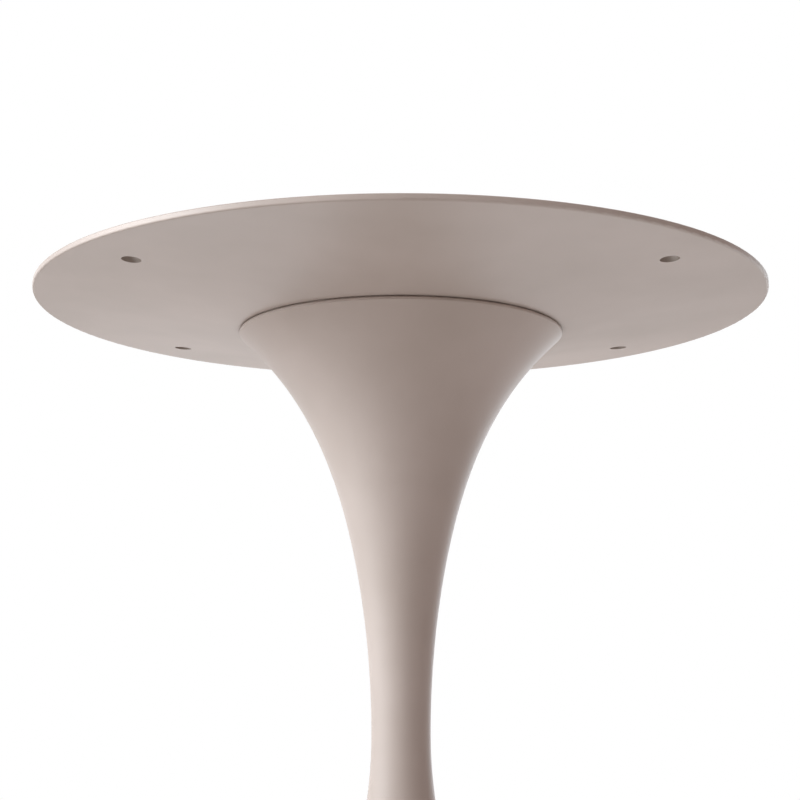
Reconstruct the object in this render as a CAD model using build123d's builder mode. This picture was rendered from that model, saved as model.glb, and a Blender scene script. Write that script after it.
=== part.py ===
"""A pedestal table base: a round dished mounting plate on a trumpet-shaped cast pedestal.

The floor is the plane z = 0 and the stem stands on the Z axis. All sizes are in millimetres.
"""

import os
from math import radians, sin

from build123d import *

os.makedirs("parts", exist_ok=True)

# Overall form
base_height = 710
plate_radius = 300
waist_radius = 23.6
waist_height = 353
foot_radius = 280

# Mounting plate: flat on top and dished below, with a thin rim and a thick hub
rim_thickness = 5
rim_rounding = 1.6
rim_chamfer = 0.8
dish_depth = 23.4
dish_power = 1.7
dish_stations = 8
hub_recess_radius = 118
hub_recess_depth = 12
hub_recess_fillet = 3
spigot_radius = 60
spigot_depth = 5
spigot_chamfer = 1

# Holes for the screws that go up into the table top, on a rectangle
top_hole_spacing_x = 400
top_hole_spacing_y = 315
top_hole_radius = 7.5

# Pedestal casting
lip_radius = 133.2
lip_edge = 2.4
lip_rounding = 1
lip_edge_rounding = 0.5
shadow_gap = 1
seat_radius = 130.5
flare_bow = 72
flare_power = 5.85
foot_bow = 175
foot_power = 10
foot_edge_top = 8
foot_edge_bottom = 3
foot_edge_rounding = 1.2
wall = 6
station_step = 10
hollow_top_station = 70
head_bore_clearance = 0.2

# Screws that pull the plate down on the pedestal's head, and their washers
fixing_start_angle = 30
screw_count = 6
screw_circle_radius = 96
screw_radius = 4
screw_length = 30
screw_tip_chamfer = 0.8
screw_head_radius = 6.5
screw_head_height = 8
screw_head_chamfer = 0.6
screw_socket_flats = 6
screw_socket_depth = 4
screw_hole_radius = 4.5
tapped_depth = 24
washer_radius = 8
washer_hole_radius = 4.2
washer_thickness = 1.6

# Levelling glides under the foot
glide_count = 6
glide_circle_radius = 205
pad_radius = 16
pad_height = 5
pad_rounding = 1.2
pad_neck_radius = 9
pad_neck_top = 8
stud_radius = 4
stud_top = 26
stud_chamfer = 0.8
stud_flange_radius = 7
stud_flange_thickness = 2.5
nut_flats = 13
nut_thickness = 4
nut_chamfer = 0.4
boss_radius = 13
boss_bottom = 13
boss_hole_spare = 1

# Heights and sizes that follow from those above
rim_underside = base_height - rim_thickness
rim_end_radius = plate_radius - rim_rounding
seat_height = rim_underside - dish_depth
hub_floor = base_height - hub_recess_depth
spigot_bottom = seat_height - spigot_depth
lip_height = seat_height - shadow_gap
flare_height = lip_height - lip_edge - waist_height
flare_kick = lip_radius - waist_radius - flare_bow
foot_fall = waist_height - foot_edge_top
foot_kick = foot_radius - waist_radius - foot_bow
screw_seat = hub_floor + washer_thickness
stud_flange_bottom = pad_height - stud_flange_thickness


def dish_point(share):
    """Underside of the plate, from the rim (0) to the lip's radius (1)."""
    radius = rim_end_radius + (lip_radius - rim_end_radius) * share
    return (radius, rim_underside - dish_depth * share**dish_power)


def outer_point(station):
    """Outer face of the pedestal, from the foot's edge (-90) past the waist (0) to the lip (90).

    The sine of the station crowds the points towards both ends, where the face bends most. Each
    way from the waist the face is a parabola with a steeper end.
    """
    share = sin(radians(station))
    if share < 0:
        spread = foot_bow * share**2 + foot_kick * share**foot_power
        return (waist_radius + spread, waist_height + foot_fall * share)
    spread = flare_bow * share**2 + flare_kick * share**flare_power
    return (waist_radius + spread, waist_height + flare_height * share)


def inner_point(station, step=1):
    """Inner face of the pedestal, set in from the outer face by the wall's thickness."""
    run = Vector(*outer_point(station + step)) - Vector(*outer_point(station - step))
    return Vector(*outer_point(station)) + Vector(-run.Y, run.X).normalized() * wall


def export_ring(piece, name, radius, count):
    """Write a STEP for each copy of a piece on a circle about the Z axis."""
    ring = PolarLocations(radius, count, start_angle=fixing_start_angle)
    for number, place in enumerate(ring, start=1):
        copy = piece.moved(place)
        copy.label = f"{name}_{number}"
        export_step(copy, f"parts/{copy.label}.step")


# Mounting plate, one casting. The dish runs from the thin rim to the flat seat that stands on
# the pedestal, and a short spigot below the seat centres the plate in the pedestal's head.
with BuildPart() as mounting_plate:
    with BuildSketch(Plane.XZ):
        with BuildLine():
            Polyline(
                (plate_radius, rim_underside + rim_rounding),
                (plate_radius, base_height - rim_chamfer),
                (plate_radius - rim_chamfer, base_height),
                (hub_recess_radius, base_height),
                (hub_recess_radius, hub_floor),
                (0, hub_floor),
                (0, spigot_bottom),
                (spigot_radius - spigot_chamfer, spigot_bottom),
                (spigot_radius, spigot_bottom + spigot_chamfer),
                (spigot_radius, seat_height),
                (lip_radius, seat_height),
            )
            Spline(*[dish_point(1 - step / dish_stations) for step in range(dish_stations + 1)])
            JernArc((rim_end_radius, rim_underside), (1, 0), rim_rounding, 90)
        make_face()
        recess_corner = vertices().sort_by_distance((hub_recess_radius, hub_floor))[0]
        fillet(recess_corner, hub_recess_fillet)
    revolve(axis=Axis.Z)
    with GridLocations(top_hole_spacing_x, top_hole_spacing_y, 2, 2):
        Hole(top_hole_radius)
    with PolarLocations(screw_circle_radius, screw_count, start_angle=fixing_start_angle):
        Hole(screw_hole_radius)
mounting_plate.part.label = "mounting_plate"
export_step(mounting_plate.part, "parts/mounting_plate.step")


# Hollow of the pedestal: it follows the outer face, and the glides' bosses stand in it
with BuildPart() as hollow:
    with BuildSketch(Plane.XZ):
        with BuildLine():
            stations = range(station_step - 90, hollow_top_station + 1, station_step)
            inner_face = Spline(*[inner_point(station) for station in stations])
            bore_radius = spigot_radius + head_bore_clearance
            Polyline(
                inner_face @ 1,
                (bore_radius, (inner_face @ 1).Y),
                (bore_radius, seat_height),
                (0, seat_height),
                (0, foot_edge_bottom),
                ((inner_face @ 0).X, foot_edge_bottom),
                inner_face @ 0,
            )
        make_face()
    revolve(axis=Axis.Z)
    with BuildSketch(Plane.XY.offset(boss_bottom)):
        with PolarLocations(glide_circle_radius, glide_count, start_angle=fixing_start_angle):
            Circle(boss_radius)
    extrude(amount=waist_height, mode=Mode.SUBTRACT)


# Pedestal, one hollow casting: head, stem and foot. Its head stands up inside the lip to carry
# the plate, so that a narrow shadow gap runs round between lip and plate.
with BuildPart() as pedestal:
    with BuildSketch(Plane.XZ):
        with BuildLine():
            stations = range(-90, 90 + station_step, station_step)
            outer_face = Spline(*[outer_point(station) for station in stations])
            Polyline(
                outer_face @ 1,
                (lip_radius, lip_height),
                (seat_radius, lip_height),
                (seat_radius, seat_height),
                (0, seat_height),
                (0, foot_edge_bottom),
                (foot_radius, foot_edge_bottom),
                outer_face @ 0,
            )
        make_face()
    revolve(axis=Axis.Z)
    rims = edges().filter_by(GeomType.CIRCLE)
    lip_rims = rims.filter_by(lambda rim: abs(rim.radius - lip_radius) < 0.01).sort_by(Axis.Z)
    fillet(lip_rims[-1], lip_rounding)
    fillet(lip_rims[0], lip_edge_rounding)
    fillet(edges().filter_by(GeomType.CIRCLE).sort_by(SortBy.RADIUS)[-2:], foot_edge_rounding)
    add(hollow.part, mode=Mode.SUBTRACT)
    with Locations((0, 0, seat_height)):
        with PolarLocations(screw_circle_radius, screw_count, start_angle=fixing_start_angle):
            Hole(screw_radius, depth=tapped_depth)
    with BuildSketch(Plane.XY.offset(boss_bottom)):
        with PolarLocations(glide_circle_radius, glide_count, start_angle=fixing_start_angle):
            Circle(stud_radius)
    extrude(amount=stud_top + boss_hole_spare - boss_bottom, mode=Mode.SUBTRACT)
pedestal.part.label = "pedestal"
export_step(pedestal.part, "parts/pedestal.step")


# Socket-head screw: it stands in the plate's recess and is screwed into the pedestal's head
with BuildPart() as plate_screw:
    with BuildSketch(Plane.XY.offset(screw_seat)):
        Circle(screw_head_radius)
    extrude(amount=screw_head_height)
    with BuildSketch(Plane.XY.offset(screw_seat)):
        Circle(screw_radius)
    extrude(amount=-screw_length)
    chamfer(edges().filter_by(GeomType.CIRCLE).group_by(Axis.Z)[-1], screw_head_chamfer)
    chamfer(edges().filter_by(GeomType.CIRCLE).group_by(Axis.Z)[0], screw_tip_chamfer)
    with BuildSketch(Plane.XY.offset(screw_seat + screw_head_height)):
        RegularPolygon(screw_socket_flats / 2, side_count=6, major_radius=False)
    extrude(amount=-screw_socket_depth, mode=Mode.SUBTRACT)
export_ring(plate_screw.part, "plate_screw", screw_circle_radius, screw_count)


# Plain washer under each screw's head
with BuildPart() as plate_washer:
    with BuildSketch(Plane.XY.offset(hub_floor)):
        Circle(washer_radius)
        Circle(washer_hole_radius, mode=Mode.SUBTRACT)
    extrude(amount=washer_thickness)
export_ring(plate_washer.part, "plate_washer", screw_circle_radius, screw_count)


# Glide pad, moulded round the flange of its stud
with BuildPart() as glide_pad:
    with BuildSketch(Plane.XZ):
        with BuildLine():
            Polyline(
                (0, 0),
                (pad_radius, 0),
                (pad_radius, pad_height),
                (pad_neck_radius, pad_neck_top),
                (stud_radius, pad_neck_top),
                (stud_radius, pad_height),
                (stud_flange_radius, pad_height),
                (stud_flange_radius, stud_flange_bottom),
                (0, stud_flange_bottom),
                close=True,
            )
        make_face()
    revolve(axis=Axis.Z)
    rims = edges().filter_by(GeomType.CIRCLE)
    fillet(rims.filter_by(lambda rim: rim.radius > pad_neck_radius), pad_rounding)
export_ring(glide_pad.part, "glide_pad", glide_circle_radius, glide_count)


# Glide stud, screwed up into a boss of the foot
with BuildPart() as glide_stud:
    with BuildSketch(Plane.XY.offset(stud_flange_bottom)):
        Circle(stud_flange_radius)
    extrude(amount=stud_flange_thickness)
    with BuildSketch(Plane.XY.offset(pad_height)):
        Circle(stud_radius)
    extrude(amount=stud_top - pad_height)
    chamfer(edges().filter_by(GeomType.CIRCLE).group_by(Axis.Z)[-1], stud_chamfer)
export_ring(glide_stud.part, "glide_stud", glide_circle_radius, glide_count)


# Lock nut, turned up against the boss to hold the stud at its height
with BuildPart() as glide_nut:
    with BuildSketch(Plane.XY.offset(boss_bottom - nut_thickness)):
        RegularPolygon(nut_flats / 2, side_count=6, major_radius=False)
        Circle(stud_radius, mode=Mode.SUBTRACT)
    extrude(amount=nut_thickness)
    corners = faces().filter_by(Axis.Z).edges().filter_by(GeomType.LINE)
    chamfer(corners, nut_chamfer)
export_ring(glide_nut.part, "glide_nut", glide_circle_radius, glide_count)
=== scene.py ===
"""A pedestal table base: a round dished mounting plate on a trumpet-shaped cast pedestal.

Everything is in metres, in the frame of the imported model: the floor is z = 0 and the stem
stands on the Z axis.
"""

from math import cos, pi, radians, sin

import bpy
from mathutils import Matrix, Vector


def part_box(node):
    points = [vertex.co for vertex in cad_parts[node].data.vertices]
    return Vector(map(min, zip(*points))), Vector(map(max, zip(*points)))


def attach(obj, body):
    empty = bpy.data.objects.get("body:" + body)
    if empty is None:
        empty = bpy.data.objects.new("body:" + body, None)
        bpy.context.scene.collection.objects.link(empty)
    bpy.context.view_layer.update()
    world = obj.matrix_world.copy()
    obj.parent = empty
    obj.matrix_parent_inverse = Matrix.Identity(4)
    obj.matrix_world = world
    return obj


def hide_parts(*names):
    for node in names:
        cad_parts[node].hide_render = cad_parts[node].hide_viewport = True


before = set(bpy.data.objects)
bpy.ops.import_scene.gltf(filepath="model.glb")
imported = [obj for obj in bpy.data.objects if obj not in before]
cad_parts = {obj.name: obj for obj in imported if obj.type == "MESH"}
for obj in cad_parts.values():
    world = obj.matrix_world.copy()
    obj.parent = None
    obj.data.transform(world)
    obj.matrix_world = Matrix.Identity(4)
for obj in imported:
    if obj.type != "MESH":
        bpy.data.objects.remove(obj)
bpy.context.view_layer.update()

# Pedestal
# One hollow aluminium casting with a wall of 6 mm: trumpet-shaped foot, slim stem and flared head
# with a thick lip. It is blasted and powder coated. Bosses cast in the foot take the glides.
foot_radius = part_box("pedestal")[1].x
seat_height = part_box("pedestal")[1].z
foot_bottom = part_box("pedestal")[0].z
foot_edge_top = foot_bottom + 0.005
foot_edge_rounding = 0.0012
wall = 0.006
waist_radius = 0.0236
waist_height = 0.353
flare_bow = 0.072
foot_bow = 0.175
lip_radius = 0.1332
lip_height = seat_height - 0.001
lip_bottom = lip_height - 0.0024
lip_rounding = 0.001
lip_edge_rounding = 0.0005
seat_radius = 0.1305
bore_radius = 0.0602
hollow_foot_station = -80
hollow_head_station = 70
ring_count = 6
ring_start = 30
glide_ring_radius = 0.205
boss_radius = 0.013
boss_bottom = 0.013
boss_top = 0.0335
boss_lean = 0.5
stud_radius = 0.004
stud_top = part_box("glide_stud_1")[1].z
bore_spare = 0.001
sharp_angle = radians(30)


def linear(hex_colour):
    """A colour as sRGB hex, turned to linear for the shaders and lights."""
    channels = [int(hex_colour[i : i + 2], 16) / 255 for i in (1, 3, 5)]
    return tuple(c / 12.92 if c <= 0.04045 else ((c + 0.055) / 1.055) ** 2.4 for c in channels) + (1,)


def add(tree, kind, inputs=(), **settings):
    """Add a node: first its own settings, then each input by name or number, linked or set."""
    node = tree.nodes.new(kind)
    for name, value in settings.items():
        setattr(node, name, value)
    for name, value in dict(inputs).items():
        if isinstance(value, bpy.types.NodeSocket):
            tree.links.new(value, node.inputs[name])
        else:
            node.inputs[name].default_value = value
    return node


def new_material(name):
    """An empty node material and its output node."""
    material = bpy.data.materials.new(name)
    material.use_nodes = True
    material.node_tree.nodes.clear()
    return material, material.node_tree, material.node_tree.nodes.new("ShaderNodeOutputMaterial")


def new_tree(name, sizes):
    """An empty Geometry Nodes tree with its named inputs, and the sockets they enter by."""
    tree = bpy.data.node_groups.new(name, "GeometryNodeTree")
    tree.interface.new_socket("Outline", in_out="INPUT", socket_type="NodeSocketGeometry")
    for size, kind in sizes.items():
        tree.interface.new_socket(size, in_out="INPUT", socket_type=f"NodeSocket{kind}")
    tree.interface.new_socket("Piece", in_out="OUTPUT", socket_type="NodeSocketGeometry")
    return tree, tree.nodes.new("NodeGroupInput").outputs


def mark(tree, name):
    """Read a mark of the outline's points, such as how much a corner is rounded."""
    return add(tree, "GeometryNodeInputNamedAttribute", {"Name": name}).outputs["Attribute"]


def lathe(tree, outline, segments):
    """Round an outline's marked corners and turn it about the Z axis into a closed mesh.

    The outline lies in the XZ plane. It is swept round a circle too small to matter, which lays
    the outline's X outwards and its Y down. The points that meet on the axis are then welded.
    """
    axis = 0.00001
    weld = 0.000002
    corner_steps = 4.0
    place = add(tree, "GeometryNodeInputPosition")
    parts = add(tree, "ShaderNodeSeparateXYZ", {0: place.outputs[0]})
    inward = add(tree, "ShaderNodeMath", {0: parts.outputs["X"], 1: axis}, operation="SUBTRACT")
    down = add(tree, "ShaderNodeMath", {0: parts.outputs["Z"], 1: -1.0}, operation="MULTIPLY")
    flat = add(tree, "ShaderNodeCombineXYZ", {"X": inward.outputs[0], "Y": down.outputs[0]})
    curve = add(tree, "GeometryNodeMeshToCurve", {"Mesh": outline})
    laid = add(
        tree, "GeometryNodeSetPosition", {"Geometry": curve.outputs[0], "Position": flat.outputs[0]}
    )
    cut = add(tree, "ShaderNodeMath", {0: mark(tree, "rounding"), 1: 0.0}, operation="GREATER_THAN")
    steps = add(tree, "ShaderNodeMath", {0: cut.outputs[0], 1: corner_steps}, operation="MULTIPLY")
    rounded = add(
        tree,
        "GeometryNodeFilletCurve",
        {"Curve": laid.outputs[0], "Radius": mark(tree, "rounding"), "Count": steps.outputs[0]},
        mode="POLY",
    )
    circle = add(tree, "GeometryNodeCurvePrimitiveCircle", {"Resolution": segments, "Radius": axis})
    swept = add(
        tree,
        "GeometryNodeCurveToMesh",
        {"Curve": circle.outputs[0], "Profile Curve": rounded.outputs[0]},
    )
    closed = add(tree, "GeometryNodeMergeByDistance", {"Geometry": swept.outputs[0], "Distance": weld})
    return closed.outputs[0]


def ring(tree, piece, copies, radius, start):
    """Stand copies of a piece on a ring about the Z axis, each turned to face outwards."""
    circle = add(tree, "GeometryNodeMeshCircle", {"Vertices": copies, "Radius": radius})
    place = add(tree, "GeometryNodeInputPosition")
    parts = add(tree, "ShaderNodeSeparateXYZ", {0: place.outputs[0]})
    angle = add(
        tree, "ShaderNodeMath", {0: parts.outputs["Y"], 1: parts.outputs["X"]}, operation="ARCTAN2"
    )
    facing = add(tree, "ShaderNodeCombineXYZ", {"Z": angle.outputs[0]})
    copied = add(
        tree,
        "GeometryNodeInstanceOnPoints",
        {"Points": circle.outputs[0], "Instance": piece, "Rotation": facing.outputs[0]},
    )
    first = add(tree, "ShaderNodeCombineXYZ", {"Z": start})
    turned = add(
        tree, "GeometryNodeTransform", {"Geometry": copied.outputs[0], "Rotation": first.outputs[0]}
    )
    return turned.outputs[0]


def finish_tree(tree, geometry, material):
    """End a tree: instances made real and the material set."""
    real = add(tree, "GeometryNodeRealizeInstances", {"Geometry": geometry})
    dressed = add(
        tree, "GeometryNodeSetMaterial", {"Geometry": real.outputs[0], "Material": material}
    )
    add(tree, "NodeGroupOutput", {"Piece": dressed.outputs[0]})


def make_piece(name, outlines, tree, sizes, nodes):
    """Run a tree on outlines of (radius, height, marks) points.

    The plain mesh that it gives stands for the CAD nodes. The outline's mesh leaves an empty
    material slot ahead of the tree's own, which is taken out.
    """
    points = [point for outline in outlines for point in outline]
    ends = [sum(len(outline) for outline in outlines[: i + 1]) for i in range(len(outlines))]
    edges = [(i, i + 1) for i in range(len(points) - 1) if i + 1 not in ends]
    mesh = bpy.data.meshes.new(name)
    mesh.from_pydata([(radius, 0, height) for radius, height, marks in points], edges, [])
    for kind in sorted({kind for point in points for kind in point[2]}):
        attribute = mesh.attributes.new(kind, "FLOAT", "POINT")
        for item, point in zip(attribute.data, points):
            item.value = point[2].get(kind, 0)
    piece = bpy.data.objects.new(name, mesh)
    bpy.context.scene.collection.objects.link(piece)
    modifier = piece.modifiers.new("shape", "NODES")
    modifier.node_group = tree
    inputs = [item for item in tree.interface.items_tree if item.in_out == "INPUT"]
    sockets = {item.name: item.identifier for item in inputs}
    for size, value in sizes.items():
        modifier[sockets[size]] = value
    evaluated = piece.evaluated_get(bpy.context.evaluated_depsgraph_get())
    plain = bpy.data.meshes.new_from_object(evaluated)
    piece.modifiers.remove(modifier)
    piece.data = plain
    plain.materials.pop(index=0)
    plain.shade_smooth()
    plain.set_sharp_from_angle(angle=sharp_angle)
    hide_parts(*nodes)
    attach(piece, "root")


# Matt polyester powder coat, sprayed and baked on the castings: a soft broad sheen over a very
# slight orange peel, and a warm greige with faint clouds where the powder lies thicker. The
# peel's cells are 2.5 mm wide. The powder's grain of 0.1 mm is drawn 1.2 mm wide, because it
# would be too fine to show. The walls of the plate's four holes are painted darker, as painted
# shade in the recesses.
top_hole_place = (0.2, 0.1575, 0.0)
top_hole_reach = 0.00755
plate_level = 0.69
powder_coat, tree, output = new_material("powder_coat")
place = add(tree, "ShaderNodeTexCoord").outputs["Object"]
cloud = add(tree, "ShaderNodeTexNoise", {"Vector": place, "Scale": 9.0, "Detail": 3.0})
patch = add(tree, "ShaderNodeMapRange", {"Value": cloud.outputs[0], "From Min": 0.3, "From Max": 0.7})
tone = add(
    tree,
    "ShaderNodeMix",
    {"Factor": patch.outputs[0], 6: linear("#B1A298"), 7: linear("#BCADA4")},
    data_type="RGBA",
)
folded = add(tree, "ShaderNodeVectorMath", {0: place}, operation="ABSOLUTE")
from_hole = add(
    tree, "ShaderNodeVectorMath", {0: folded.outputs[0], 1: top_hole_place}, operation="SUBTRACT"
).outputs[0]
level = add(
    tree, "ShaderNodeVectorMath", {0: from_hole, 1: (1, 1, 0)}, operation="MULTIPLY"
).outputs[0]
distance = add(tree, "ShaderNodeVectorMath", {0: level}, operation="LENGTH").outputs["Value"]
in_hole = add(tree, "ShaderNodeMath", {0: distance, 1: top_hole_reach}, operation="LESS_THAN").outputs[0]
height = add(tree, "ShaderNodeSeparateXYZ", {0: place}).outputs["Z"]
in_plate = add(tree, "ShaderNodeMath", {0: height, 1: plate_level}, operation="GREATER_THAN").outputs[0]
# Painted shade: inside the plate's four holes the coat's colour is swapped for a darker one
painted_hole_shade = add(tree, "ShaderNodeMath", {0: in_hole, 1: in_plate}, operation="MULTIPLY")
colour = add(
    tree,
    "ShaderNodeMix",
    {"Factor": painted_hole_shade.outputs[0], 6: tone.outputs[2], 7: linear("#92857B")},
    data_type="RGBA",
)
sheen = add(tree, "ShaderNodeMapRange", {"Value": cloud.outputs[0], "To Min": 0.50, "To Max": 0.60})
peel = add(tree, "ShaderNodeTexNoise", {"Vector": place, "Scale": 400.0, "Detail": 1.0})
grain = add(tree, "ShaderNodeTexNoise", {"Vector": place, "Scale": 830.0, "Detail": 2.0})
peel_bump = add(tree, "ShaderNodeBump", {"Height": peel.outputs[0], "Distance": 0.00003})
grain_bump = add(
    tree,
    "ShaderNodeBump",
    {"Height": grain.outputs[0], "Normal": peel_bump.outputs[0], "Distance": 0.00002},
)
coat = add(
    tree,
    "ShaderNodeBsdfPrincipled",
    {
        "Base Color": colour.outputs[2],
        "Roughness": sheen.outputs[0],
        "Normal": grain_bump.outputs[0],
        "IOR": 1.5,
    },
)
tree.links.new(coat.outputs[0], output.inputs["Surface"])

# The casting's outline, down its outer face and up its inner one. A radius or height of 0 is left
# to the rule: each way from the waist the face is a parabola with a steeper end, and the inner
# face is set in by the wall. A station is an angle whose sine runs from the foot's edge (-90
# degrees) past the waist (0) to the lip (90), so that the points crowd where the face bends most.
casting = [
    (bore_radius, seat_height, {}),
    (seat_radius, seat_height, {}),
    (seat_radius, lip_height, {}),
    (lip_radius, lip_height, {"rounding": lip_rounding}),
    (lip_radius, lip_bottom, {"rounding": lip_edge_rounding}),
]
casting += [(0, 0, {"station": radians(step * 1.5)}) for step in range(56, -58, -1)]
casting += [
    (foot_radius, foot_edge_top, {"rounding": foot_edge_rounding}),
    (foot_radius, foot_bottom, {"rounding": foot_edge_rounding}),
    (0, foot_bottom, {"station": radians(hollow_foot_station), "inset": wall}),
]
casting += [
    (0, 0, {"station": radians(station), "inset": wall})
    for station in range(hollow_foot_station, hollow_head_station + 1, 2)
]
casting += [
    (bore_radius, 0, {"station": radians(hollow_head_station), "inset": wall}),
    (bore_radius, seat_height, {}),
]
boss = [
    (0, boss_top, {"boss": 1}),
    (boss_radius, boss_top, {"boss": 1}),
    (boss_radius, boss_bottom, {"boss": 1}),
    (stud_radius, boss_bottom, {"boss": 1}),
    (stud_radius, stud_top + bore_spare, {"boss": 1}),
    (0, stud_top + bore_spare, {"boss": 1}),
]

tree, entry = new_tree(
    "trumpet_casting",
    {
        "Segments": "Int",
        "Waist Radius": "Float",
        "Waist Height": "Float",
        "Flare Bow": "Float",
        "Flare Kick": "Float",
        "Flare Power": "Float",
        "Flare Rise": "Float",
        "Foot Bow": "Float",
        "Foot Kick": "Float",
        "Foot Power": "Float",
        "Foot Rise": "Float",
        "Boss Count": "Int",
        "Boss Ring Radius": "Float",
        "Boss Start Angle": "Float",
        "Boss Top": "Float",
        "Boss Lean": "Float",
        "Material": "Material",
    },
)
share = add(tree, "ShaderNodeMath", {0: mark(tree, "station")}, operation="SINE").outputs[0]
size = add(tree, "ShaderNodeMath", {0: share}, operation="ABSOLUTE").outputs[0]
side = add(tree, "ShaderNodeMath", {0: share}, operation="SIGN").outputs[0]
above = add(tree, "ShaderNodeMath", {0: share, 1: 0.0}, operation="GREATER_THAN").outputs[0]
bow, kick, power, rise = (
    add(
        tree,
        "GeometryNodeSwitch",
        {"Switch": above, "False": entry[f"Foot {term}"], "True": entry[f"Flare {term}"]},
        input_type="FLOAT",
    ).outputs[0]
    for term in ("Bow", "Kick", "Power", "Rise")
)
square = add(tree, "ShaderNodeMath", {0: size, 1: 2.0}, operation="POWER").outputs[0]
steep = add(tree, "ShaderNodeMath", {0: size, 1: power}, operation="POWER").outputs[0]
kicked = add(tree, "ShaderNodeMath", {0: steep, 1: kick}, operation="MULTIPLY").outputs[0]
spread = add(
    tree, "ShaderNodeMath", {0: square, 1: bow, 2: kicked}, operation="MULTIPLY_ADD"
).outputs[0]
radius = add(
    tree, "ShaderNodeMath", {0: spread, 1: entry["Waist Radius"]}, operation="ADD"
).outputs[0]
height = add(
    tree, "ShaderNodeMath", {0: share, 1: rise, 2: entry["Waist Height"]}, operation="MULTIPLY_ADD"
).outputs[0]
outer = add(tree, "ShaderNodeCombineXYZ", {"X": radius, "Z": height}).outputs[0]

# The rule's derivative is the face's slope, and square to it lies the way in to the inner face
double_bow = add(tree, "ShaderNodeMath", {0: bow, 1: 2.0}, operation="MULTIPLY").outputs[0]
bow_slope = add(tree, "ShaderNodeMath", {0: double_bow, 1: size}, operation="MULTIPLY").outputs[0]
less = add(tree, "ShaderNodeMath", {0: power, 1: 1.0}, operation="SUBTRACT").outputs[0]
raised = add(tree, "ShaderNodeMath", {0: size, 1: less}, operation="POWER").outputs[0]
kick_scale = add(tree, "ShaderNodeMath", {0: kick, 1: power}, operation="MULTIPLY").outputs[0]
slope = add(
    tree, "ShaderNodeMath", {0: raised, 1: kick_scale, 2: bow_slope}, operation="MULTIPLY_ADD"
).outputs[0]
signed = add(tree, "ShaderNodeMath", {0: slope, 1: side}, operation="MULTIPLY").outputs[0]
fall = add(tree, "ShaderNodeMath", {0: rise, 1: -1.0}, operation="MULTIPLY").outputs[0]
across = add(tree, "ShaderNodeCombineXYZ", {"X": fall, "Z": signed}).outputs[0]
way_in = add(tree, "ShaderNodeVectorMath", {0: across}, operation="NORMALIZE").outputs[0]
inset = add(
    tree, "ShaderNodeVectorMath", {0: way_in, "Scale": mark(tree, "inset")}, operation="SCALE"
).outputs[0]
ruled = add(tree, "ShaderNodeVectorMath", {0: outer, 1: inset}, operation="ADD").outputs[0]

ruled_parts = add(tree, "ShaderNodeSeparateXYZ", {0: ruled}).outputs
own_place = add(tree, "GeometryNodeInputPosition").outputs[0]
own_parts = add(tree, "ShaderNodeSeparateXYZ", {0: own_place}).outputs
chosen = {}
for part in ("X", "Z"):
    kept = add(
        tree, "ShaderNodeMath", {0: own_parts[part], 1: 0.0}, operation="GREATER_THAN"
    ).outputs[0]
    chosen[part] = add(
        tree,
        "GeometryNodeSwitch",
        {"Switch": kept, "False": ruled_parts[part], "True": own_parts[part]},
        input_type="FLOAT",
    ).outputs[0]
outline_place = add(tree, "ShaderNodeCombineXYZ", chosen).outputs[0]
outlines = add(
    tree,
    "GeometryNodeSeparateGeometry",
    {"Geometry": entry["Outline"], "Selection": mark(tree, "boss")},
    domain="POINT",
).outputs
shell_outline = add(
    tree, "GeometryNodeSetPosition", {"Geometry": outlines["Inverted"], "Position": outline_place}
).outputs[0]
shell = lathe(tree, shell_outline, entry["Segments"])

# A boss is turned once, its top leant to end within the wall above it, and stood on the ring
post = lathe(tree, outlines["Selection"], 48)
at_top = add(
    tree, "ShaderNodeMath", {0: own_parts["Z"], 1: entry["Boss Top"], 2: 0.0001}, operation="COMPARE"
).outputs[0]
drop = add(
    tree, "ShaderNodeMath", {0: own_parts["X"], 1: entry["Boss Lean"]}, operation="MULTIPLY"
).outputs[0]
lowered = add(tree, "ShaderNodeMath", {0: drop, 1: -1.0}, operation="MULTIPLY").outputs[0]
lean = add(tree, "ShaderNodeCombineXYZ", {"Z": lowered}).outputs[0]
leant = add(
    tree, "GeometryNodeSetPosition", {"Geometry": post, "Selection": at_top, "Offset": lean}
).outputs[0]
bosses = ring(tree, leant, entry["Boss Count"], entry["Boss Ring Radius"], entry["Boss Start Angle"])
whole = add(tree, "GeometryNodeJoinGeometry", {"Geometry": shell})
tree.links.new(bosses, whole.inputs["Geometry"])
finish_tree(tree, whole.outputs[0], entry["Material"])

make_piece(
    "pedestal_casting",
    [casting, boss],
    tree,
    {
        "Segments": 256,
        "Waist Radius": waist_radius,
        "Waist Height": waist_height,
        "Flare Bow": flare_bow,
        "Flare Kick": lip_radius - waist_radius - flare_bow,
        "Flare Power": 5.85,
        "Flare Rise": lip_bottom - waist_height,
        "Foot Bow": foot_bow,
        "Foot Kick": foot_radius - waist_radius - foot_bow,
        "Foot Power": 10.0,
        "Foot Rise": waist_height - foot_edge_top,
        "Boss Count": ring_count,
        "Boss Ring Radius": glide_ring_radius,
        "Boss Start Angle": radians(ring_start),
        "Boss Top": boss_top,
        "Boss Lean": boss_lean,
        "Material": powder_coat,
    },
    ["pedestal"],
)

# Mounting plate
# A round aluminium casting, flat on top and dished below, with a thin rim and four plain
# holes for the screws that go up into the table top. Machined on top, then powder coated.
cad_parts["mounting_plate"].material_slots[0].material = powder_coat

# Plate washers
# Six plain washers, stamped from steel strip and zinc plated, one under each screw's head. The
# die leaves the upper edge rounded and the lower one sharp.
screw_ring_radius = 0.096
hub_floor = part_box("plate_washer_1")[0].z
screw_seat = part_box("plate_washer_1")[1].z
washer_radius = 0.008
washer_hole = 0.0042
washer_rounding = 0.0005

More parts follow.
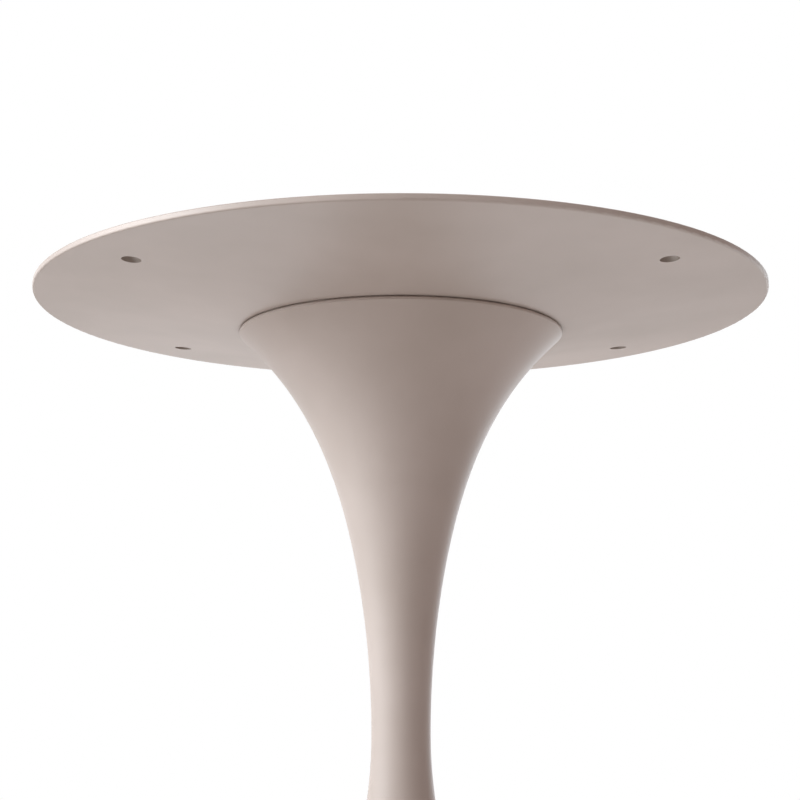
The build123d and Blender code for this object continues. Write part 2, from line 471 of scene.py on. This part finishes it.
# Bright zinc plating on turned and stamped steel: a satin grey-white metal, blurred by cells
# 0.6 mm wide in the plating.
zinc_plate, tree, output = new_material("zinc_plated_steel")
place = add(tree, "ShaderNodeTexCoord").outputs["Object"]
cell = add(tree, "ShaderNodeTexNoise", {"Vector": place, "Scale": 1600.0, "Detail": 2.0})
blur = add(tree, "ShaderNodeMapRange", {"Value": cell.outputs[0], "To Min": 0.28, "To Max": 0.42})
tint = add(
    tree,
    "ShaderNodeMix",
    {"Factor": cell.outputs[0], 6: linear("#BFC2C4"), 7: linear("#CDD0D1")},
    data_type="RGBA",
)
steel = add(
    tree,
    "ShaderNodeBsdfPrincipled",
    {"Base Color": tint.outputs[2], "Roughness": blur.outputs[0], "Metallic": 1.0},
)
tree.links.new(steel.outputs[0], output.inputs["Surface"])

turned_parts, entry = new_tree(
    "turned_parts",
    {
        "Segments": "Int",
        "Copies": "Int",
        "Ring Radius": "Float",
        "Start Angle": "Float",
        "Flutes": "Int",
        "Flute Depth": "Float",
        "Thread Pitch": "Float",
        "Thread Depth": "Float",
        "Material": "Material",
    },
)
tree = turned_parts
place = add(tree, "GeometryNodeInputPosition").outputs[0]
parts = add(tree, "ShaderNodeSeparateXYZ", {0: place}).outputs
angle = add(tree, "ShaderNodeMath", {0: parts["Y"], 1: parts["X"]}, operation="ARCTAN2").outputs[0]
plan = add(tree, "ShaderNodeVectorMath", {0: place, 1: (1, 1, 0)}, operation="MULTIPLY").outputs[0]
reach = add(tree, "ShaderNodeVectorMath", {0: plan}, operation="LENGTH").outputs["Value"]

# Where a point is marked as hexagonal, its radius is half the width across the flats
sixth = add(tree, "ShaderNodeMath", {0: angle, 1: pi / 3}, operation="FLOORED_MODULO").outputs[0]
centred = add(tree, "ShaderNodeMath", {0: sixth, 1: pi / 6}, operation="SUBTRACT").outputs[0]
nearness = add(tree, "ShaderNodeMath", {0: centred}, operation="COSINE").outputs[0]
corner = add(tree, "ShaderNodeMath", {0: 1.0, 1: nearness}, operation="DIVIDE").outputs[0]
spread = add(
    tree, "ShaderNodeMix", {"Factor": mark(tree, "hexagon"), 2: 1.0, 3: corner}, data_type="FLOAT"
).outputs[0]

# A flute is a wave round the piece, and a thread is a zigzag up it that moves on with each turn
wave_angle = add(
    tree, "ShaderNodeMath", {0: angle, 1: entry["Flutes"]}, operation="MULTIPLY"
).outputs[0]
wave = add(tree, "ShaderNodeMath", {0: wave_angle}, operation="COSINE").outputs[0]
hollow = add(tree, "ShaderNodeMath", {0: wave, 1: -0.5, 2: 0.5}, operation="MULTIPLY_ADD").outputs[0]
flute = add(
    tree, "ShaderNodeMath", {0: hollow, 1: entry["Flute Depth"]}, operation="MULTIPLY"
).outputs[0]
fluted = add(
    tree, "ShaderNodeMath", {0: flute, 1: mark(tree, "flute")}, operation="MULTIPLY"
).outputs[0]
rise = add(
    tree, "ShaderNodeMath", {0: parts["Z"], 1: entry["Thread Pitch"]}, operation="DIVIDE"
).outputs[0]
part_turn = add(tree, "ShaderNodeMath", {0: angle, 1: 0.5 / pi}, operation="MULTIPLY").outputs[0]
climb = add(tree, "ShaderNodeMath", {0: rise, 1: part_turn}, operation="SUBTRACT").outputs[0]
zigzag = add(tree, "ShaderNodeMath", {0: climb, 1: 0.5}, operation="PINGPONG").outputs[0]
groove = add(tree, "ShaderNodeMath", {0: zigzag, 1: 2.0}, operation="MULTIPLY").outputs[0]
thread = add(
    tree, "ShaderNodeMath", {0: groove, 1: entry["Thread Depth"]}, operation="MULTIPLY"
).outputs[0]
cut = add(
    tree, "ShaderNodeMath", {0: thread, 1: mark(tree, "thread"), 2: fluted}, operation="MULTIPLY_ADD"
).outputs[0]
cut_share = add(tree, "ShaderNodeMath", {0: cut, 1: reach}, operation="DIVIDE").outputs[0]
scale = add(tree, "ShaderNodeMath", {0: spread, 1: cut_share}, operation="SUBTRACT").outputs[0]
stretch = add(tree, "ShaderNodeCombineXYZ", {"X": scale, "Y": scale, "Z": 1.0}).outputs[0]
shaped = add(tree, "ShaderNodeVectorMath", {0: place, 1: stretch}, operation="MULTIPLY").outputs[0]
turned = lathe(tree, entry["Outline"], entry["Segments"])
formed = add(tree, "GeometryNodeSetPosition", {"Geometry": turned, "Position": shaped}).outputs[0]
copies = ring(tree, formed, entry["Copies"], entry["Ring Radius"], entry["Start Angle"])
finish_tree(tree, copies, entry["Material"])

thread_pitch = 0.00125
thread_depth = 0.0006
thread_step = thread_pitch / 4


def make_ring(name, outline, segments, ring_radius, material, flutes=0, flute_depth=0.0):
    """Like pieces on a ring, which stand for the CAD nodes of the same name."""
    sizes = {
        "Segments": segments,
        "Copies": ring_count,
        "Ring Radius": ring_radius,
        "Start Angle": radians(ring_start),
        "Flutes": flutes,
        "Flute Depth": flute_depth,
        "Thread Pitch": thread_pitch,
        "Thread Depth": thread_depth,
        "Material": material,
    }
    nodes = [f"{name}_{number}" for number in range(1, ring_count + 1)]
    make_piece(f"{name}s", [outline], turned_parts, sizes, nodes)


washer = [
    (washer_hole, hub_floor + 0.0004, {}),
    (washer_hole, screw_seat, {}),
    (washer_radius, screw_seat, {"rounding": washer_rounding}),
    (washer_radius, hub_floor, {}),
    (washer_hole, hub_floor, {}),
    (washer_hole, hub_floor + 0.0004, {}),
]
make_ring("plate_washer", washer, 64, screw_ring_radius, zinc_plate)

# Plate screws
# Six socket-head screws of alloy steel, forged, with rolled threads and knurl, then blackened.
# They go through the plate's hub into tapped holes in the pedestal's head.
head_radius = 0.0065
head_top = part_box("plate_screw_1")[1].z
screw_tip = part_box("plate_screw_1")[0].z
head_rounding = 0.0005
socket_half_width = 0.003
socket_floor = head_top - 0.004
socket_chamfer = 0.0003
tip_chamfer = 0.0008

# Black oxide on alloy steel, oiled: nearly black with a dull metal gleam that varies a little
# over cells of 1 mm.
black_oxide, tree, output = new_material("black_oxide_steel")
place = add(tree, "ShaderNodeTexCoord").outputs["Object"]
cell = add(tree, "ShaderNodeTexNoise", {"Vector": place, "Scale": 1000.0, "Detail": 2.0})
gleam = add(tree, "ShaderNodeMapRange", {"Value": cell.outputs[0], "To Min": 0.34, "To Max": 0.5})
tint = add(
    tree,
    "ShaderNodeMix",
    {"Factor": cell.outputs[0], 6: linear("#3A3939"), 7: linear("#454444")},
    data_type="RGBA",
)
oxide = add(
    tree,
    "ShaderNodeBsdfPrincipled",
    {"Base Color": tint.outputs[2], "Roughness": gleam.outputs[0], "Metallic": 1.0},
)
tree.links.new(oxide.outputs[0], output.inputs["Surface"])

screw = [
    (0, socket_floor - 0.001, {}),
    (socket_half_width, socket_floor, {"hexagon": 1}),
    (socket_half_width, head_top - socket_chamfer, {"hexagon": 1}),
    (socket_half_width + 0.0007, head_top, {}),
    (head_radius, head_top, {"rounding": head_rounding}),
    (head_radius, head_top - 0.0009, {}),
    (head_radius, head_top - 0.0012, {"flute": 1}),
    (head_radius, screw_seat + 0.0006, {"flute": 1}),
    (head_radius - 0.0002, screw_seat + 0.0003, {}),
    (head_radius - 0.0003, screw_seat, {}),
    (stud_radius, screw_seat, {}),
    (stud_radius, seat_height, {}),
]
screw_steps = int((seat_height - screw_tip - tip_chamfer) / thread_step)
screw += [
    (stud_radius, seat_height - thread_step * step, {"thread": 1}) for step in range(1, screw_steps)
]
screw += [(stud_radius - tip_chamfer, screw_tip, {}), (0, screw_tip, {})]
make_ring(
    "plate_screw",
    screw,
    120,
    screw_ring_radius,
    black_oxide,
    flutes=40,
    flute_depth=0.0002,
)

# Glide studs
# Six threaded studs with a round flange, turned from steel and zinc plated. Each flange is held
# in its pad, and the stud is screwed up into a boss of the foot.
flange_radius = 0.007
flange_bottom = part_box("glide_stud_1")[0].z
flange_top = flange_bottom + 0.0025
stud = [(0, stud_top, {}), (stud_radius - tip_chamfer, stud_top, {})]
thread_top = stud_top - tip_chamfer
stud_steps = int((thread_top - flange_top) / thread_step)
stud += [
    (stud_radius, thread_top - thread_step * step, {"thread": 1}) for step in range(stud_steps)
]
stud += [
    (stud_radius, flange_top, {}),
    (flange_radius, flange_top, {}),
    (flange_radius, flange_bottom, {}),
    (0, flange_bottom, {}),
]
make_ring("glide_stud", stud, 48, glide_ring_radius, zinc_plate)

# Glide nuts
# Six thin lock nuts of zinc-plated steel, turned up against the bosses. Their corners are
# chamfered where the bar was faced off.
nut_half_width = 0.0065
nut_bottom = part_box("glide_nut_1")[0].z
nut_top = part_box("glide_nut_1")[1].z
countersink = 0.0004
corner_chamfer = 0.0005
face_radius = nut_half_width - 0.0001
nut = [
    (stud_radius, nut_top - countersink, {}),
    (stud_radius + countersink, nut_top, {}),
    (face_radius, nut_top, {}),
    (nut_half_width, nut_top - corner_chamfer, {"hexagon": 1}),
    (nut_half_width, nut_bottom + corner_chamfer, {"hexagon": 1}),
    (face_radius, nut_bottom, {}),
    (stud_radius + countersink, nut_bottom, {}),
    (stud_radius, nut_bottom + countersink, {}),
    (stud_radius, nut_top - countersink, {}),
]
make_ring("glide_nut", nut, 72, glide_ring_radius, zinc_plate)

# Glide pads
# Six round pads of black nylon, moulded round the flanges of their studs. The base stands on them,
# and a fluted rim lets the fingers turn them to level it.
pad_radius = 0.016
pad_height = 0.005
pad_rounding = 0.0012
pad_neck_radius = 0.009
pad_neck_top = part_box("glide_pad_1")[1].z
pad_neck_rounding = 0.0005

# Black nylon, injection moulded in a spark-eroded tool: a soft sheen over a grain of 0.4 mm.
moulded_nylon, tree, output = new_material("moulded_nylon")
place = add(tree, "ShaderNodeTexCoord").outputs["Object"]
pits = add(tree, "ShaderNodeTexNoise", {"Vector": place, "Scale": 2500.0, "Detail": 2.0})
pit_bump = add(tree, "ShaderNodeBump", {"Height": pits.outputs[0], "Distance": 0.00003})
tint = add(
    tree,
    "ShaderNodeMix",
    {"Factor": pits.outputs[0], 6: linear("#242222"), 7: linear("#2C2A29")},
    data_type="RGBA",
)
nylon = add(
    tree,
    "ShaderNodeBsdfPrincipled",
    {"Base Color": tint.outputs[2], "Normal": pit_bump.outputs[0], "Roughness": 0.5, "IOR": 1.53},
)
tree.links.new(nylon.outputs[0], output.inputs["Surface"])

pad = [
    (0, flange_bottom, {}),
    (flange_radius, flange_bottom, {}),
    (flange_radius, pad_height, {}),
    (stud_radius, pad_height, {}),
    (stud_radius, pad_neck_top, {}),
    (pad_neck_radius, pad_neck_top, {"rounding": pad_neck_rounding}),
    (pad_radius, pad_height, {"rounding": pad_rounding}),
    (pad_radius, pad_height - 0.0013, {"flute": 1}),
    (pad_radius, pad_rounding + 0.0001, {"flute": 1}),
    (pad_radius, 0, {"rounding": pad_rounding}),
    (0, 0, {}),
]
make_ring(
    "glide_pad",
    pad,
    144,
    glide_ring_radius,
    moulded_nylon,
    flutes=24,
    flute_depth=0.0005,
)

# Floor
# A plain pale studio floor. To the camera it fades into the white backdrop, as a sweep does, so
# that no view shows its edge.
floor_reach = 4
fade_start = 0.5
fade_end = 2.4
floor_corners = [(x * floor_reach, y * floor_reach, 0) for x, y in ((-1, -1), (1, -1), (1, 1), (-1, 1))]
floor_mesh = bpy.data.meshes.new("floor")
floor_mesh.from_pydata(floor_corners, [], [(0, 1, 2, 3)])
floor = bpy.data.objects.new("floor", floor_mesh)
bpy.context.scene.collection.objects.link(floor)
pale, tree, output = new_material("pale_floor")
surface = add(tree, "ShaderNodeBsdfDiffuse", {"Color": linear("#EDECEA")}).outputs[0]
sweep_white = add(tree, "ShaderNodeEmission", {"Color": (1, 1, 1, 1), "Strength": 1.0}).outputs[0]
place = add(tree, "ShaderNodeTexCoord").outputs["Object"]
far = add(tree, "ShaderNodeVectorMath", {0: place}, operation="LENGTH").outputs["Value"]
fade = add(
    tree,
    "ShaderNodeMapRange",
    {"Value": far, "From Min": fade_start, "From Max": fade_end},
    interpolation_type="SMOOTHSTEP",
).outputs[0]
seen = add(tree, "ShaderNodeLightPath").outputs["Is Camera Ray"]
seen_fade = add(tree, "ShaderNodeMath", {0: fade, 1: seen}, operation="MULTIPLY").outputs[0]
faded = add(tree, "ShaderNodeMixShader", {0: seen_fade, 1: surface, 2: sweep_white}).outputs[0]
tree.links.new(faded, output.inputs["Surface"])
floor_mesh.materials.append(pale)

# Studio
# Plain soft light: a dim warm world all round, four broad suns as far soft boxes, with the key at
# the left front, and one near soft box. A small lamp just above the plate's level makes the rim
# gleam at the left front. Three areas shine up for the lit floor behind the base. The camera sees
# the world white, as the photograph's background is.
world = bpy.data.worlds.new("studio")
bpy.context.scene.world = world
world.use_nodes = True
world.node_tree.nodes.clear()
tree = world.node_tree
ray = add(tree, "ShaderNodeLightPath")
fill = add(tree, "ShaderNodeBackground", {"Color": linear("#FFEAE6"), "Strength": 0.35})
backdrop = add(tree, "ShaderNodeBackground", {"Color": (1, 1, 1, 1), "Strength": 1.0})
seen = add(
    tree,
    "ShaderNodeMixShader",
    {0: ray.outputs["Is Camera Ray"], 1: fill.outputs[0], 2: backdrop.outputs[0]},
)
add(tree, "ShaderNodeOutputWorld", {"Surface": seen.outputs[0]})
daylight = linear("#EDF8FF")[:3]


def new_light(kind, energy, place, turn):
    """A light that shines down its own -Z axis, hidden from the camera."""
    data = bpy.data.lights.new("soft_light", kind)
    data.energy = energy
    data.color = daylight
    light = bpy.data.objects.new("soft_light", data)
    light.location = place
    light.rotation_euler = turn
    light.visible_camera = False
    bpy.context.scene.collection.objects.link(light)
    return data


sun_breadth = radians(38)
for azimuth, elevation, strength in (
    (210, 28, 2.16),
    (180, 6, 1.36),
    (60, 6, 1.18),
    (120, 6, 0.464),
):
    turn = (0, radians(90 - elevation), radians(azimuth))
    new_light("SUN", strength, (0, 0, 3), turn).angle = sun_breadth

side_distance = 2.2
side_azimuth = radians(195)
side_elevation = radians(20)
side_place = (
    side_distance * cos(side_elevation) * cos(side_azimuth),
    side_distance * cos(side_elevation) * sin(side_azimuth),
    0.5 + side_distance * sin(side_elevation),
)
new_light("AREA", 14.8, side_place, (0, pi / 2 - side_elevation, side_azimuth)).size = 0.7

lamp_azimuth = radians(229)
lamp_elevation = radians(18)
lamp_radius = 0.41
lamp_place = (lamp_radius * cos(lamp_azimuth), lamp_radius * sin(lamp_azimuth), 0.745)
new_light("AREA", 0.06, lamp_place, (0, pi / 2 - lamp_elevation, lamp_azimuth)).size = 0.04

for x, y, power in ((-0.5, 1.8, 5.6), (0, 0.8, 2.8), (0.5, 0.8, 1.75)):
    sweep = new_light("AREA", power, (x, y, 0.02), (pi, 0, 0))
    sweep.shape = "RECTANGLE"
    sweep.size = 0.45
    sweep.size_y = 0.5

bpy.context.scene.view_settings.view_transform = "Standard"

# Camera
# It looks up from below the plate, as in the photograph, and shares the photograph's slight roll.
# The shift of one pixel is the photograph's own framing.
camera_data = bpy.data.cameras.new("camera")
camera_data.lens = 78.627
camera_data.sensor_width = 36
camera_data.shift_x = -0.0013
camera = bpy.data.objects.new("camera", camera_data)
camera.location = (0, -1.41498, 0.36635)
camera.rotation_euler = (radians(100.364), radians(0.06), 0)
bpy.context.scene.collection.objects.link(camera)
bpy.context.scene.camera = camera
